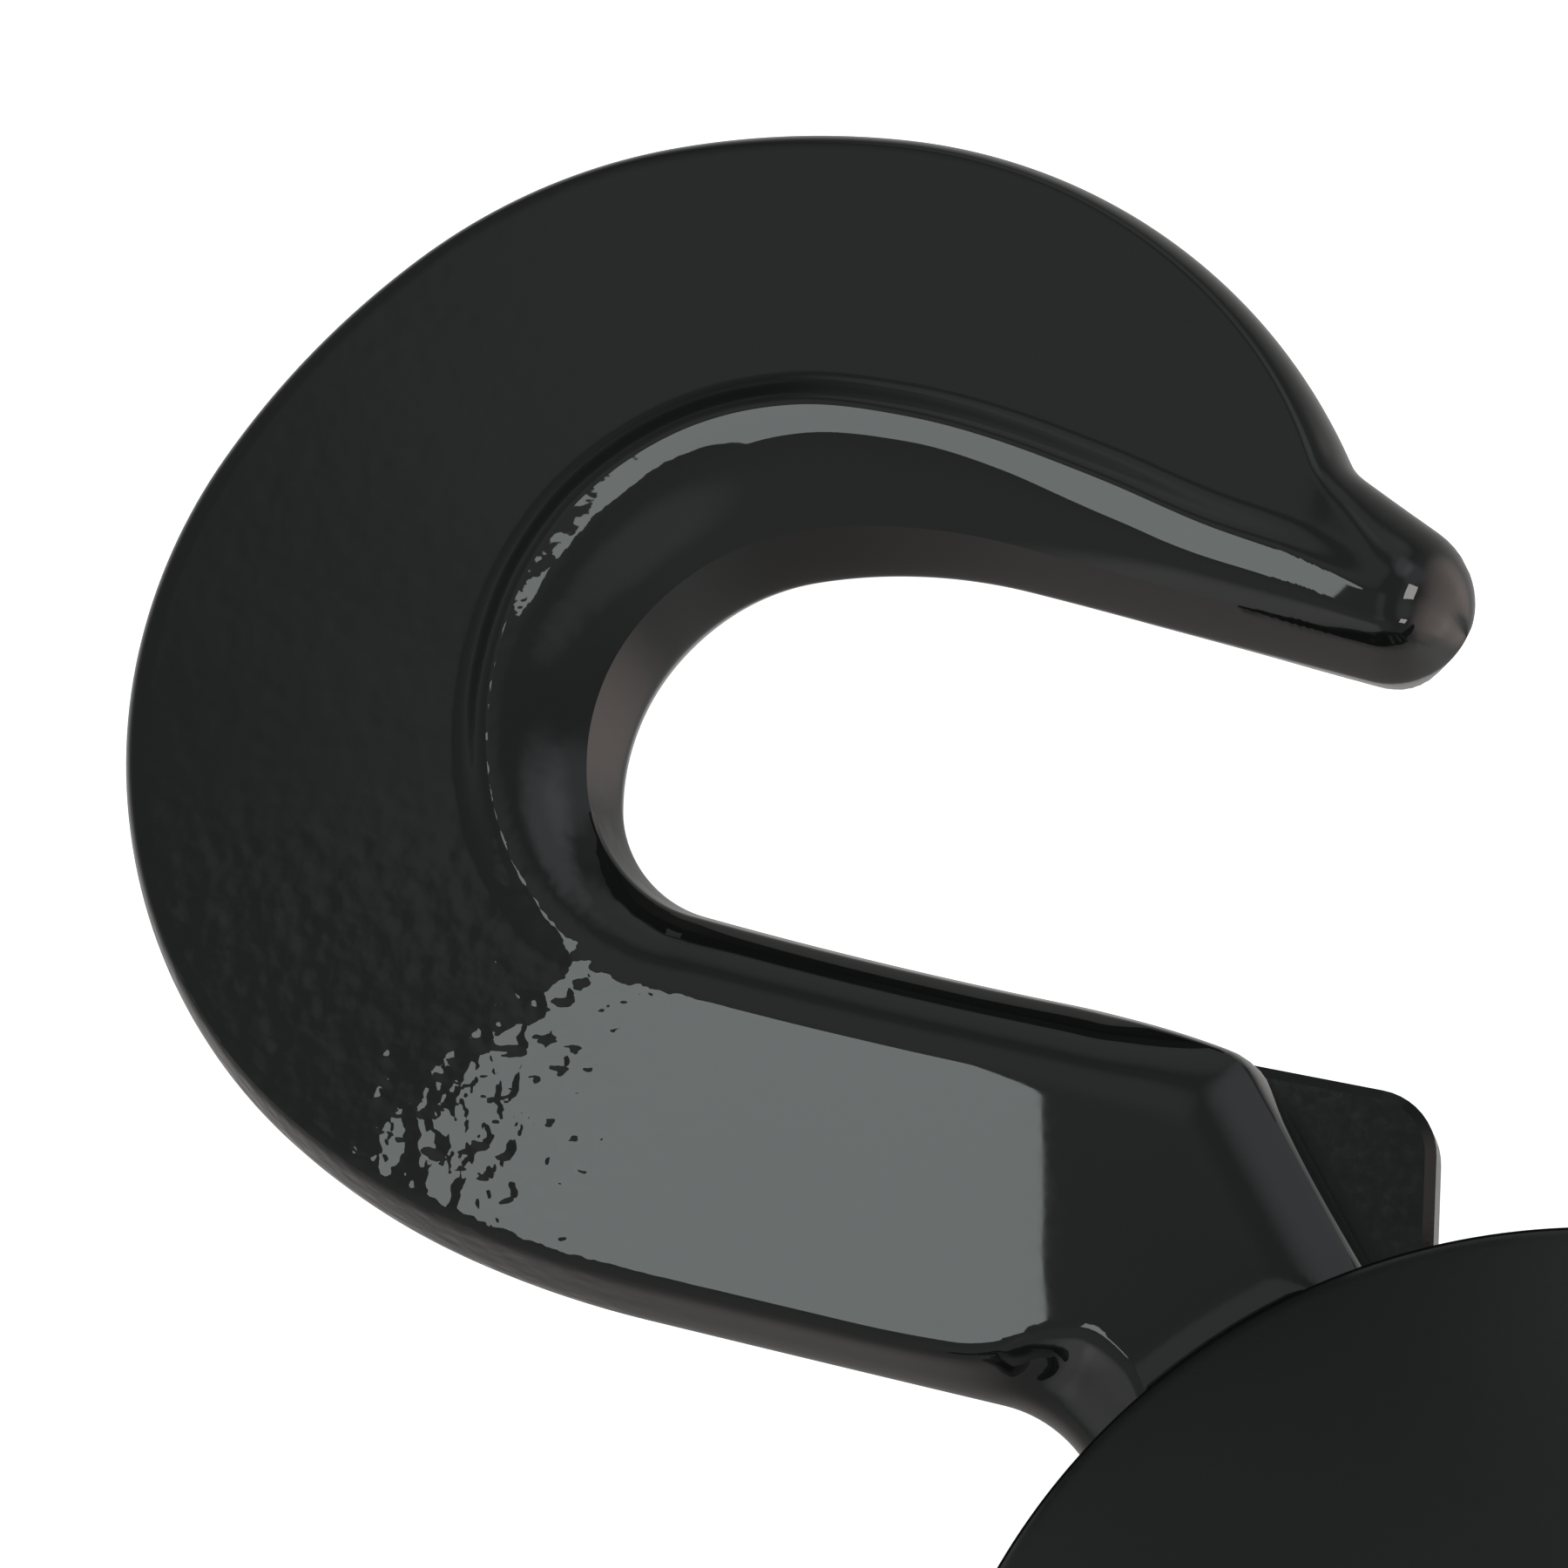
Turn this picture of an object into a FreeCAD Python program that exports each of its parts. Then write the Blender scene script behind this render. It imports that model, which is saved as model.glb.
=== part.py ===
import FreeCAD, Part
import Sketcher
import math
import os

# Planar treble hook: three forged C hooks, 120 degrees apart, pivoting between the two
# plates of a round swivel hub.  Millimetres.  +Z is the hub axis, the flat back plate
# lies on z = 0, and the domed cover is on top.
V = FreeCAD.Vector
doc = FreeCAD.newDocument("treble_hook")
sheet = doc.addObject("Spreadsheet::Sheet", "sizes")

# ---------------------------------------------------------------- driving sizes
SIZES = (
    # hub
    ("plate_radius", 29.0, "back plate disc"),
    ("plate_thick", 5.0, "back plate thickness"),
    ("plate_bore", 10.4, "central recess of the back plate"),
    ("front_radius", 25.4, "front plate disc"),
    ("front_thick", 1.6, "front plate thickness"),
    ("gap_height", 13.2, "clear height between the plates"),
    ("core_radius", 12.8, "spacer core"),
    ("neck_radius", 10.9, "core neck through the front plate"),
    ("core_bore", 9.0, "bore for the bushes"),
    ("core_top", 26.2, "top of the core neck"),
    ("dome_radius", 29.6, "cover rim"),
    ("dome_low", 18.3, "cover underside"),
    ("dome_lip", 20.3, "height where the rounded rim meets the crown"),
    ("dome_lip_round", 2.0, "rim rounding"),
    ("dome_crown", 27.4, "height of the crown beside the ring"),
    ("dome_flat", 14.2, "radius where the crown ends"),
    ("dome_bore", 11.1, "cover bore over the core neck"),
    ("dome_wall", 1.5, "cover wall"),
    ("crown_arc", 52.0, "crown radius"),
    ("ring_radius", 13.9, "cover ring outer radius"),
    ("ring_thick", 1.8, "cover ring height"),
    # spindle
    ("sleeve_radius", 7.0, "spindle sleeve"),
    ("sleeve_bore", 5.25, "clearance bore for an M10 bolt"),
    ("sleeve_low", 0.0, "lower end of the sleeve"),
    ("sleeve_top", 29.2, "top of the sleeve flange"),
    ("flange_radius", 9.6, "sleeve flange"),
    ("flange_thick", 2.0, "sleeve flange thickness"),
    ("run_gap", 0.04, "radial running clearance"),
    ("bush_length", 9.0, "spindle bush length"),
    ("clip_low", 2.0, "lower face of the circlip"),
    ("clip_thick", 1.0, "circlip thickness"),
    ("clip_groove", 0.6, "circlip groove depth"),
    ("clip_radius", 8.9, "circlip outer radius"),
    ("keeper_thick", 1.6, "keeper washer thickness"),
    # pivots
    ("pivot_ring", 21.6, "pivot distance from the hub axis"),
    ("pivot_angle", 124.8155, "direction of the first pivot"),
    ("pin_radius", 3.0, "pivot pin"),
    ("pin_head", 5.0, "pivot pin head"),
    ("pin_sink", 0.3, "pin head below the back face"),
    ("bush_radius", 4.5, "pivot bush outer radius"),
    ("shim_radius", 5.0, "thrust washer outer radius"),
    ("shim_thick", 0.5, "thrust washer thickness"),
    ("side_gap", 0.1, "axial clearance each side of a hook"),
    ("screw_radius", 1.5, "M3 countersunk screw"),
    ("screw_head", 2.8, "M3 screw head"),
    ("screw_length", 7.0, "M3 screw length"),
    # posts and stops
    ("post_ring", 20.4, "spacer post distance from the hub axis"),
    ("post_angle", 63.0, "direction of the first post"),
    ("post_radius", 3.6, "spacer post"),
    ("post_thread", 2.0, "M4 thread in the post"),
    ("back_screw_head", 4.0, "M4 screw head"),
    ("back_screw_length", 10.0, "M4 screw length"),
    ("stop_radius", 2.5, "stop pin"),
    ("stop_top", 17.9, "top of the stop pins"),
    ("stop_root", 1.2, "lower end of the stop pins"),
    ("stop_a_x", -2.42, "stop pin at the clockwise limit"),
    ("stop_a_y", 25.14, "stop pin at the clockwise limit"),
    ("stop_b_x", -22.49, "stop pin at the counter-clockwise limit"),
    ("stop_b_y", 12.65, "stop pin at the counter-clockwise limit"),
    # hooks
    ("hook_thick", 12.0, "forging thickness"),
    ("hook_low", 5.6, "underside of a hook"),
    ("hook_round", 2.4, "rounded long edges"),
    ("web_recess", 1.2, "depth of the web below the saddle, each face"),
    ("web_taper", 50.0, "slope of the recess walls from vertical, degrees"),
    # lugs of the back plate
    ("lug_edge", 0.5, "lug edge break"),
)

# Hook outline in plan, hook 1 in the hub frame, run clockwise from the inner corner of
# the elbow: shank underside, back of the C, notch, point, throat, shank top, oblique
# root end, eye.  Each row is a corner and the signed radius of the arc that leaves it
# (positive turns left, 0 is a straight run).
OUTLINE = (
    (-25.8608, 22.8079, -2916.5111),
    (-42.1548, 26.8959, -49.0676),
    (-50.5447, 29.8588, -32.3224),
    (-58.8764, 35.3838, -24.4682),
    (-62.3687, 67.5272, -39.0759),
    (-53.0326, 76.8969, -27.3830),
    (-40.5284, 81.7432, -37.9587),
    (-29.6401, 81.5081, -26.2693),
    (-9.5369, 65.2493, 2.2),
    (-8.8452, 64.3239, 0),
    (-5.5597, 61.7570, -3.72),
    (-8.9099, 55.2598, 0),
    (-18.9205, 58.3402, 216.0826),
    (-24.4775, 60.0320, 24.6707),
    (-34.3944, 60.8178, 10.3135),
    (-43.4320, 50.7301, 5.6011),
    (-39.4657, 45.2930, 246.4991),
    (-22.6879, 40.8144, -41.0322),
    (-15.2081, 38.3203, -3.2),
    (-13.6645, 36.8651, 0),
    (-5.5805, 21.2228, -7.6),
    (-19.0588, 14.1961, 0),
    (-21.9936, 19.7768, 6.0),
)

# Web recess: along the outer side of the saddle, across the heel of the shank, and then
# a loop that clears the outside of the hook.
RECESS = (
    (-11.4271, 59.4149, 139.4708),
    (-26.3530, 66.9939, 26.0085),
    (-31.8273, 68.6840, 13.9815),
    (-40.9859, 67.3141, 13.1642),
    (-47.8025, 57.9523, 13.5661),
    (-45.2040, 47.3470, 0),
    (-64.0, 33.0, 0),
    (-80.0, 50.0, 0),
    (-70.0, 92.0, 0),
    (-12.5, 92.0, 0),
    (-12.5, 70.0, 0),
)

# One lug of the back plate, behind the root of hook 1.
LUG = (
    (-7.6000, 20.0000, 0),
    (-6.7936, 34.4570, 3.0),
    (-9.1520, 37.5569, 0),
    (-20.7910, 40.1012, 2.5),
    (-23.7930, 37.2860, 0),
    (-20.6000, 16.0000, 0),
)


class Q:
    """A number together with the sheet expression that gives it."""

    def __init__(self, value, text):
        self.value = float(value)
        self.text = text

    def _join(self, other, mark, value):
        text = other.text if isinstance(other, Q) else repr(float(other))
        return Q(value, "(%s %s %s)" % (self.text, mark, text))

    def __add__(self, other):
        return self._join(other, "+", self.value + number(other))

    def __sub__(self, other):
        return self._join(other, "-", self.value - number(other))

    def __mul__(self, other):
        return self._join(other, "*", self.value * number(other))

    def __truediv__(self, other):
        return self._join(other, "/", self.value / number(other))


def number(item):
    return item.value if isinstance(item, Q) else float(item)


def q_cos(angle):
    return Q(math.cos(math.radians(angle.value)), "cos(%s * 1 deg)" % angle.text)


def q_sin(angle):
    return Q(math.sin(math.radians(angle.value)), "sin(%s * 1 deg)" % angle.text)


row = 1
S = {}


def put(alias, value, note=""):
    global row
    sheet.set("A%d" % row, alias)
    sheet.set("B%d" % row, repr(float(value)))
    sheet.set("C%d" % row, note)
    sheet.setAlias("B%d" % row, alias)
    S[alias] = Q(value, "sizes.%s" % alias)
    row += 1


for alias, value, note in SIZES:
    put(alias, value, note)
for name, table in (("outline", OUTLINE), ("recess", RECESS), ("lug", LUG)):
    for i, (x, y, r) in enumerate(table):
        put("%s_x_%02d" % (name, i), x, "%s corner" % name)
        put("%s_y_%02d" % (name, i), y, "%s corner" % name)
        if r:
            put("%s_arc_%02d" % (name, i), abs(r), "%s arc radius" % name)
doc.recompute()

NODES = []


# ---------------------------------------------------------------- helpers
def plane(body, role):
    return [o for o in body.Origin.OriginFeatures if o.Role == role][0]


def axis(body, role):
    return [o for o in body.Origin.OriginFeatures if o.Role == role][0]


def bind(obj, prop, item):
    if isinstance(item, Q):
        obj.setExpression(prop, item.text)
    else:
        obj.setExpression(prop, repr(float(item)))


def new_body(label, angle=0.0):
    body = doc.addObject("PartDesign::Body", label)
    body.Label = label
    body.Placement = FreeCAD.Placement(V(0, 0, 0), FreeCAD.Rotation(V(0, 0, 1), angle))
    NODES.append(body)
    return body


def new_sketch(body, name, role="XY_Plane", height=None):
    sk = body.newObject("Sketcher::SketchObject", name)
    sk.AttachmentSupport = [(plane(body, role), "")]
    sk.MapMode = "FlatFace"
    if height is not None:
        sk.AttachmentOffset = FreeCAD.Placement(V(0, 0, number(height)), FreeCAD.Rotation())
        bind(sk, "AttachmentOffset.Base.z", height)
    return sk


def fix_point(sk, geo, pos, x, y):
    for kind, item in (("DistanceX", x), ("DistanceY", y)):
        value = number(item)
        if abs(value) < 1e-9:
            sk.addConstraint(Sketcher.Constraint("PointOnObject", geo, pos, -2 if kind == "DistanceX" else -1))
            continue
        index = sk.addConstraint(Sketcher.Constraint(kind, -1, 1, geo, pos, value))
        bind(sk, "Constraints[%d]" % index, item)


def closed_loop(sk, corners):
    """corners: (x, y, signed radius or 0) with Q or plain numbers."""
    count = len(corners)
    ends = []
    for i in range(count):
        x0, y0, r = (number(c) for c in corners[i])
        x1, y1 = number(corners[(i + 1) % count][0]), number(corners[(i + 1) % count][1])
        if r == 0:
            geo = sk.addGeometry(Part.LineSegment(V(x0, y0, 0), V(x1, y1, 0)), False)
            ends.append((geo, 1, 2, None))
            continue
        dx, dy = x1 - x0, y1 - y0
        chord = math.hypot(dx, dy)
        h = math.sqrt(max(r * r - chord * chord / 4.0, 0.0)) * (1 if r > 0 else -1)
        cx, cy = (x0 + x1) / 2.0 - dy / chord * h, (y0 + y1) / 2.0 + dx / chord * h
        a0, a1 = math.atan2(y0 - cy, x0 - cx), math.atan2(y1 - cy, x1 - cx)
        if r > 0:
            geo = sk.addGeometry(Part.ArcOfCircle(Part.Circle(V(cx, cy, 0), V(0, 0, 1), r), a0, a1), False)
            ends.append((geo, 1, 2, corners[i][2]))
        else:
            geo = sk.addGeometry(Part.ArcOfCircle(Part.Circle(V(cx, cy, 0), V(0, 0, 1), -r), a1, a0), False)
            ends.append((geo, 2, 1, corners[i][2]))
    for i in range(count):
        geo, first, last, r = ends[i]
        nxt = ends[(i + 1) % count]
        sk.addConstraint(Sketcher.Constraint("Coincident", geo, last, nxt[0], nxt[1]))
    for i in range(count):
        fix_point(sk, ends[i][0], ends[i][1], corners[i][0], corners[i][1])
    for geo, first, last, r in ends:
        if r is not None:
            size = Q(abs(r.value), r.text.replace("(-1.0 * ", "(1.0 * ")) if isinstance(r, Q) else abs(r)
            index = sk.addConstraint(Sketcher.Constraint("Radius", geo, number(size)))
            bind(sk, "Constraints[%d]" % index, size)
    return sk


def table_corners(name, table):
    out = []
    for i, (x, y, r) in enumerate(table):
        radius = 0
        if r:
            arc = S["%s_arc_%02d" % (name, i)]
            radius = Q(r, "(1.0 * %s)" % arc.text)
        out.append((S["%s_x_%02d" % (name, i)], S["%s_y_%02d" % (name, i)], radius))
    return out


def circle(sk, x, y, r):
    geo = sk.addGeometry(Part.Circle(V(number(x), number(y), 0), V(0, 0, 1), number(r)), False)
    fix_point(sk, geo, 3, x, y)
    index = sk.addConstraint(Sketcher.Constraint("Radius", geo, number(r)))
    bind(sk, "Constraints[%d]" % index, r)


def revolve(body, name, corners):
    """Turn a closed profile, given as (radius, height, arc), about the hub axis."""
    sk = new_sketch(body, name + "_profile", "XZ_Plane")
    closed_loop(sk, [(c[0], c[1], c[2] if len(c) > 2 else 0) for c in corners])
    feature = body.newObject("PartDesign::Revolution", name)
    feature.Profile = sk
    feature.ReferenceAxis = (axis(body, "Z_Axis"), [""])
    feature.Angle = 360.0
    return feature


def pad(body, name, sk, length):
    feature = body.newObject("PartDesign::Pad", name)
    feature.Profile = sk
    feature.Length = number(length)
    bind(feature, "Length", length)
    return feature


def pocket(body, name, sk, length, upward=False, taper=None):
    before = body.Shape.Volume
    feature = body.newObject("PartDesign::Pocket", name)
    feature.Profile = sk
    feature.Length = number(length)
    bind(feature, "Length", length)
    feature.Reversed = upward
    if taper is not None:
        feature.TaperAngle = number(taper)
        bind(feature, "TaperAngle", taper)
    doc.recompute()
    if not body.Shape.Volume < before - 1e-3:
        raise RuntimeError("%s cut nothing" % name)
    return feature


def cylinder(name, radius, low, height, x=0.0, y=0.0):
    item = doc.addObject("Part::Cylinder", name)
    bind(item, "Radius", radius)
    bind(item, "Height", height)
    bind(item, "Placement.Base.x", x)
    bind(item, "Placement.Base.y", y)
    bind(item, "Placement.Base.z", low)
    return item


def cone(name, r_low, r_high, low, height, x=0.0, y=0.0):
    item = doc.addObject("Part::Cone", name)
    bind(item, "Radius1", r_low)
    bind(item, "Radius2", r_high)
    bind(item, "Height", height)
    bind(item, "Placement.Base.x", x)
    bind(item, "Placement.Base.y", y)
    bind(item, "Placement.Base.z", low)
    return item


def fuse(name, items):
    item = doc.addObject("Part::MultiFuse", name)
    item.Shapes = items
    return item


def cut(name, base, tool):
    item = doc.addObject("Part::Cut", name)
    item.Base = base
    item.Tool = tool
    return item


def node(item, label):
    item.Label = label
    NODES.append(item)
    return item


def group(label, items):
    item = doc.addObject("Part::Compound", label)
    item.Links = items
    return node(item, label)


def polar(ring, angle, turn):
    a = angle + turn
    return ring * q_cos(a), ring * q_sin(a)


def turned(x, y, turn):
    """A point given by sheet values, turned about the hub axis."""
    c, s = math.cos(math.radians(turn)), math.sin(math.radians(turn))
    return x * c - y * s, x * s + y * c


TURNS = (0.0, -120.0, 120.0)
plate_top = S["plate_thick"]
front_low = S["plate_thick"] + S["gap_height"]
front_top = front_low + S["front_thick"]
pivots = [polar(S["pivot_ring"], S["pivot_angle"], turn) for turn in TURNS]
posts = [polar(S["post_ring"], S["post_angle"], turn) for turn in TURNS]
stops = [turned(S["stop_a_x"], S["stop_a_y"], turn) for turn in TURNS]
stops += [turned(S["stop_b_x"], S["stop_b_y"], turn) for turn in TURNS]

# ---------------------------------------------------------------- back plate
body = new_body("back_plate")
sk = new_sketch(body, "back_disc")
circle(sk, 0, 0, S["plate_radius"])
pad(body, "back_disc_pad", sk, S["plate_thick"])
doc.recompute()
sk = new_sketch(body, "lug")
closed_loop(sk, table_corners("lug", LUG))
lug = pad(body, "lug_pad", sk, S["plate_thick"])
doc.recompute()
lugs = body.newObject("PartDesign::PolarPattern", "lugs")
lugs.Originals = [lug]
lugs.Axis = (axis(body, "Z_Axis"), [""])
lugs.Angle = 360
lugs.Occurrences = 3
body.Tip = lugs
doc.recompute()
outer = []
for i, edge in enumerate(lugs.Shape.Edges):
    box = edge.BoundBox
    if box.ZLength < 1e-6:
        outer.append("Edge%d" % (i + 1))
breaks = body.newObject("PartDesign::Chamfer", "edge_break")
breaks.Base = (lugs, outer)
breaks.Size = S["lug_edge"].value
bind(breaks, "Size", S["lug_edge"])
doc.recompute()
sk = new_sketch(body, "spindle_recess_sketch")
circle(sk, 0, 0, S["plate_bore"])
pocket(body, "spindle_recess", sk, S["plate_thick"] + 1.0, upward=True)
sk = new_sketch(body, "pin_holes_sketch")
for x, y in pivots:
    circle(sk, x, y, S["pin_radius"])
for x, y in posts:
    circle(sk, x, y, S["post_thread"])
pocket(body, "pin_and_screw_holes", sk, S["plate_thick"] + 1.0, upward=True)
sk = new_sketch(body, "stop_holes_sketch", height=S["stop_root"])
for x, y in stops:
    circle(sk, x, y, S["stop_radius"])
pocket(body, "stop_holes", sk, S["plate_thick"] + 1.0, upward=True)
# countersinks, cut as short revolved cones about each hole
heads = []
sink_r = S["pin_head"]
for k, (x, y) in enumerate(pivots):
    heads.append(cylinder("pin_sink_%d" % k, S["pin_head"], Q(-1.0, "-1.0"), S["pin_sink"] + 1.0, x, y))
    heads.append(cone("pin_cone_%d" % k, S["pin_head"], S["pin_radius"], S["pin_sink"], S["pin_head"] - S["pin_radius"], x, y))
for k, (x, y) in enumerate(posts):
    heads.append(cylinder("screw_sink_%d" % k, S["back_screw_head"], Q(-1.0, "-1.0"), S["pin_sink"] + 1.0, x, y))
    heads.append(cone("screw_cone_%d" % k, S["back_screw_head"], S["post_thread"], S["pin_sink"], S["back_screw_head"] - S["post_thread"], x, y))
NODES.remove(body)
body.Label = "back_plate_blank"
node(cut("back_plate_cut", body, fuse("back_countersinks", heads)), "back_plate")

# ---------------------------------------------------------------- front plate
disc = cylinder("front_disc", S["front_radius"], front_low, S["front_thick"])
tools = [cylinder("front_bore", S["neck_radius"], front_low - 1.0, S["front_thick"] + 2.0)]
for k, (x, y) in enumerate(pivots + posts):
    tools.append(cone("front_sink_%d" % k, S["screw_head"] - S["front_thick"] + 0.3, S["screw_head"] + 0.3, front_low, S["front_thick"], x, y))
node(cut("front_plate_cut", disc, fuse("front_tools", tools)), "front_plate")

# ---------------------------------------------------------------- hub core
body = new_body("hub_core")
revolve(body, "core_turning", (
    (S["core_bore"], plate_top),
    (S["core_radius"], plate_top),
    (S["core_radius"], front_low),
    (S["neck_radius"], front_low),
    (S["neck_radius"], S["core_top"]),
    (S["core_bore"], S["core_top"]),
))

# ---------------------------------------------------------------- domed cover
body = new_body("hub_dome")
lip_r = S["dome_radius"] - S["dome_lip_round"]
wall = S["dome_wall"]
revolve(body, "dome_turning", (
    (S["dome_radius"] - wall, S["dome_low"]),
    (S["dome_radius"], S["dome_low"], S["dome_lip_round"]),
    (lip_r, S["dome_lip"], S["crown_arc"]),
    (S["dome_flat"], S["dome_crown"]),
    (S["dome_bore"], S["dome_crown"]),
    (S["dome_bore"], S["dome_crown"] - wall),
    (S["dome_flat"], S["dome_crown"] - wall, Q(-S["crown_arc"].value, "(1.0 * sizes.crown_arc)")),
    (lip_r - 0.5, S["dome_lip"] - wall + 0.1),
))

# ---------------------------------------------------------------- cover ring
body = new_body("cover_ring")
revolve(body, "ring_turning", (
    (S["neck_radius"], S["dome_crown"]),
    (S["ring_radius"], S["dome_crown"]),
    (S["ring_radius"], S["dome_crown"] + S["ring_thick"] - 0.5),
    (S["ring_radius"] - 0.5, S["dome_crown"] + S["ring_thick"]),
    (S["neck_radius"], S["dome_crown"] + S["ring_thick"]),
))

# ---------------------------------------------------------------- spindle
body = new_body("spindle")
neck = S["sleeve_radius"] - S["clip_groove"]
flange_low = S["sleeve_top"] - S["flange_thick"]
revolve(body, "spindle_turning", (
    (S["sleeve_bore"], S["sleeve_low"]),
    (S["sleeve_radius"] - 0.3, S["sleeve_low"]),
    (S["sleeve_radius"], S["sleeve_low"] + 0.3),
    (S["sleeve_radius"], S["clip_low"]),
    (neck, S["clip_low"]),
    (neck, S["clip_low"] + S["clip_thick"]),
    (S["sleeve_radius"], S["clip_low"] + S["clip_thick"]),
    (S["sleeve_radius"], flange_low),
    (S["flange_radius"], flange_low),
    (S["flange_radius"], S["sleeve_top"] - 0.6),
    (S["flange_radius"] - 0.6, S["sleeve_top"]),
    (S["sleeve_bore"], S["sleeve_top"]),
))

# split bushes pressed into the core, one from each end
for label, low in (("rear_bush", plate_top), ("front_bush", S["core_top"] - S["bush_length"])):
    body = new_body(label)
    revolve(body, label + "_turning", (
        (S["sleeve_radius"] + S["run_gap"], low),
        (S["core_bore"], low),
        (S["core_bore"], low + S["bush_length"]),
        (S["sleeve_radius"] + S["run_gap"], low + S["bush_length"]),
    ))

# thrust washer under the flange
body = new_body("flange_washer")
revolve(body, "flange_washer_turning", (
    (S["sleeve_radius"], flange_low - 0.9),
    (S["flange_radius"] - 0.2, flange_low - 0.9),
    (S["flange_radius"] - 0.2, flange_low),
    (S["sleeve_radius"], flange_low),
))

# keeper washer and circlip in the recess of the back plate
body = new_body("keeper_washer")
revolve(body, "keeper_turning", (
    (S["sleeve_radius"], S["clip_low"] + S["clip_thick"]),
    (S["plate_bore"] - 0.4, S["clip_low"] + S["clip_thick"]),
    (S["plate_bore"] - 0.4, S["clip_low"] + S["clip_thick"] + S["keeper_thick"]),
    (S["sleeve_radius"], S["clip_low"] + S["clip_thick"] + S["keeper_thick"]),
))
clip_ring = cut("clip_ring", cylinder("clip_outer", S["clip_radius"], S["clip_low"], S["clip_thick"]),
                cylinder("clip_inner", neck, S["clip_low"] - 1.0, S["clip_thick"] + 2.0))
mouth = doc.addObject("Part::Box", "clip_mouth")
bind(mouth, "Length", S["clip_radius"] + 1.0)
bind(mouth, "Width", 3.2)
bind(mouth, "Height", S["clip_thick"] + 2.0)
bind(mouth, "Placement.Base.x", 4.0)
bind(mouth, "Placement.Base.y", -1.6)
bind(mouth, "Placement.Base.z", S["clip_low"] - 1.0)
node(cut("circlip_cut", clip_ring, mouth), "circlip")

# ---------------------------------------------------------------- pivots
shim_low = plate_top
for k, (x, y) in enumerate(pivots):
    parts = [
        cone("pin_head_%d" % k, S["pin_head"], S["pin_radius"], S["pin_sink"], S["pin_head"] - S["pin_radius"], x, y),
        cylinder("pin_shank_%d" % k, S["pin_radius"], S["pin_sink"] + 0.5, front_low - S["pin_sink"] - 0.5, x, y),
    ]
    thread = cylinder("pin_thread_%d" % k, S["screw_radius"], front_top - S["screw_length"], S["screw_length"], x, y)
    node(cut("pivot_pin_cut_%d" % k, fuse("pivot_pin_solid_%d" % k, parts), thread), "pivot_pin_%d" % (k + 1))


def washers(label, low):
    made = []
    for k, (x, y) in enumerate(pivots):
        outer_part = cylinder("%s_outer_%d" % (label, k), S["shim_radius"], low, S["shim_thick"], x, y)
        inner_part = cylinder("%s_inner_%d" % (label, k), S["pin_radius"], low - 1.0, S["shim_thick"] + 2.0, x, y)
        made.append(cut("%s_cut_%d" % (label, k), outer_part, inner_part))
    return group(label, made)


washers("rear_thrust_washers", plate_top)
washers("front_thrust_washers", front_low - S["shim_thick"])

# ---------------------------------------------------------------- posts, stops and screws
made = []
for k, (x, y) in enumerate(posts):
    base = cylinder("post_solid_%d" % k, S["post_radius"], plate_top, S["gap_height"], x, y)
    low_thread = cylinder("post_low_%d" % k, S["post_thread"], plate_top - 1.0, S["back_screw_length"] - 4.7 + 1.0, x, y)
    high_thread = cylinder("post_high_%d" % k, S["screw_radius"], front_top - S["screw_length"], S["screw_length"], x, y)
    made.append(cut("post_cut_%d" % k, base, fuse("post_bores_%d" % k, [low_thread, high_thread])))
group("spacer_posts", made)

made = []
for k, (x, y) in enumerate(stops):
    shaft = cylinder("stop_shaft_%d" % k, S["stop_radius"], S["stop_root"], S["stop_top"] - S["stop_root"] - 0.4, x, y)
    top = cone("stop_tip_%d" % k, S["stop_radius"], S["stop_radius"] - 0.4, S["stop_top"] - 0.4, 0.4, x, y)
    made.append(fuse("stop_pin_solid_%d" % k, [shaft, top]))
group("stop_pins", made)


def countersunk(name, head, radius, length, x, y, top=None, bottom=None):
    """A countersunk screw, head up when top is given, head down when bottom is given."""
    rise = head - radius
    if top is not None:
        head_part = cone(name + "_head", radius, head, top - rise, rise, x, y)
        shank = cylinder(name + "_shank", radius, top - length, length - 0.2, x, y)
        slot = doc.addObject("Part::Box", name + "_slot")
        bind(slot, "Placement.Base.z", top - 0.7)
    else:
        head_part = cone(name + "_head", head, radius, bottom, rise, x, y)
        shank = cylinder(name + "_shank", radius, bottom + 0.2, length - 0.2, x, y)
        slot = doc.addObject("Part::Box", name + "_slot")
        bind(slot, "Placement.Base.z", bottom - 0.3)
    bind(slot, "Length", head * 2.0 + 1.0)
    bind(slot, "Width", 0.8)
    bind(slot, "Height", 1.0)
    bind(slot, "Placement.Base.x", x - head - 0.5)
    bind(slot, "Placement.Base.y", y - 0.4)
    return cut(name, fuse(name + "_blank", [head_part, shank]), slot)


group("front_screws", [
    countersunk("front_screw_%d" % k, S["screw_head"], S["screw_radius"], S["screw_length"], x, y, top=front_top)
    for k, (x, y) in enumerate(pivots + posts)])
group("back_screws", [
    countersunk("back_screw_%d" % k, S["back_screw_head"], S["post_thread"], S["back_screw_length"], x, y, bottom=S["pin_sink"])
    for k, (x, y) in enumerate(posts)])

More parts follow.
